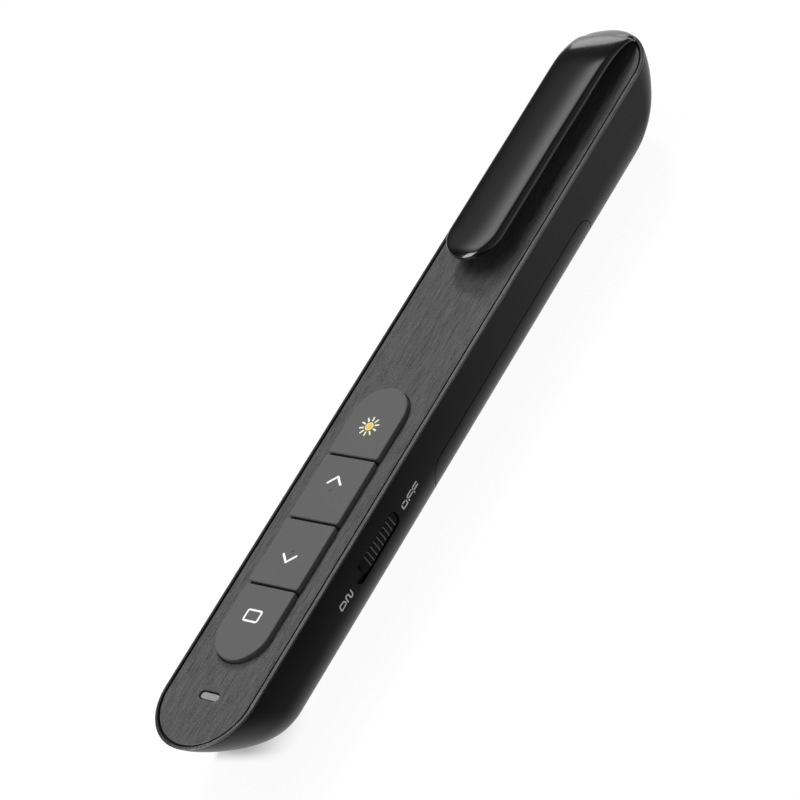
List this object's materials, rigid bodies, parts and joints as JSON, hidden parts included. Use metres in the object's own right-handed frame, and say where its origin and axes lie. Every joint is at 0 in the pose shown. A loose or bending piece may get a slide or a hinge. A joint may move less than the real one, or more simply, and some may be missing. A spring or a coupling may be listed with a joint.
{
  "type": "wireless presentation clicker",
  "caption": "Slim pen-like presentation clicker with rounded ends, a strap clip over its face, a row of flush keys, a side power slide and a laser hole in its nose.",
  "frame": {"origin": "middle of the back, on the surface that the clicker lies on", "axes": "+X across, the power slide's side; +Y along the body to the nose with the clip and the laser; +Z out of the key face"},
  "size_m": [0.0194, 0.15, 0.0182],
  "materials": {
    "shell": "satin black moulded",
    "faceplate": "brushed dark grey, lengthwise grain",
    "clip": "gloss black",
    "keys": "soft matte grey",
    "slider": "satin black",
    "light_pipe": "milky",
    "silicone": "matte",
    "inner_plastic": "moulded black",
    "white_plastic": "moulded white",
    "board": "green solder mask",
    "ceramic_parts": "fired ceramic, matte",
    "steel": "bright plated",
    "brass": "turned",
    "lens": "clear red",
    "cell_wrap": "shrink sleeve",
    "receiver_plastic": "satin black"
  },
  "bodies": {
    "body": {"body_shell": "shell", "face_rim": "faceplate", "faceplate": "faceplate", "chassis": "inner_plastic", "chassis_screws": "steel", "keypad_membrane": "silicone", "tact_switches": "inner_plastic", "main_board": "board", "radio_chip": "inner_plastic", "crystal": "steel", "chip_parts": "ceramic_parts", "status_led": "white_plastic", "status_window": "light_pipe", "power_switch": "steel", "battery_cell": "cell_wrap", "battery_cap": "steel", "positive_contact": "steel", "negative_spring": "steel", "laser_barrel": "brass", "laser_lens": "lens", "laser_holder": "inner_plastic", "laser_driver": "board", "laser_window": "lens", "receiver_magnet": "steel"},
    "clip": {"pocket_clip": "clip"},
    "laser_key": {"laser_button": "keys", "laser_stem": "white_plastic"},
    "up_key": {"page_up_button": "keys", "page_up_stem": "white_plastic"},
    "down_key": {"page_down_button": "keys", "page_down_stem": "white_plastic"},
    "black_key": {"black_screen_button": "keys", "black_screen_stem": "white_plastic"},
    "slider": {"power_slider": "slider", "switch_lever": "inner_plastic"},
    "door": {"battery_door": "shell"},
    "receiver": {"receiver_plug": "steel", "receiver_cap": "receiver_plastic", "receiver_tongue": "white_plastic"}
  },
  "joints": [
    {"name": "clip_flex", "type": "hinge", "parent": "body", "child": "clip", "pos_m": [0, 0.0709, 0.0114], "axis": [-1, 0, 0], "range_deg": [0, 2.5], "stiffness_Nm_per_rad": 3},
    {"name": "laser_press", "type": "slide", "parent": "body", "child": "laser_key", "axis": [0, 0, -1], "range_m": [0, 0.0004], "stiffness_N_per_m": 300, "springref_m": -0.001},
    {"name": "up_press", "type": "slide", "parent": "body", "child": "up_key", "axis": [0, 0, -1], "range_m": [0, 0.0004], "stiffness_N_per_m": 300, "springref_m": -0.001},
    {"name": "down_press", "type": "slide", "parent": "body", "child": "down_key", "axis": [0, 0, -1], "range_m": [0, 0.0004], "stiffness_N_per_m": 300, "springref_m": -0.001},
    {"name": "black_press", "type": "slide", "parent": "body", "child": "black_key", "axis": [0, 0, -1], "range_m": [0, 0.0004], "stiffness_N_per_m": 300, "springref_m": -0.001},
    {"name": "power_slide", "type": "slide", "parent": "body", "child": "slider", "axis": [0, -1, 0], "range_m": [0, 0.002]},
    {"name": "door_off", "type": "slide", "parent": "body", "child": "door", "axis": [0, 0, -1], "range_m": [0, 0.015]},
    {"name": "receiver_out", "type": "slide", "parent": "body", "child": "receiver", "axis": [0, 0, -1], "range_m": [0, 0.012]}
  ]
}
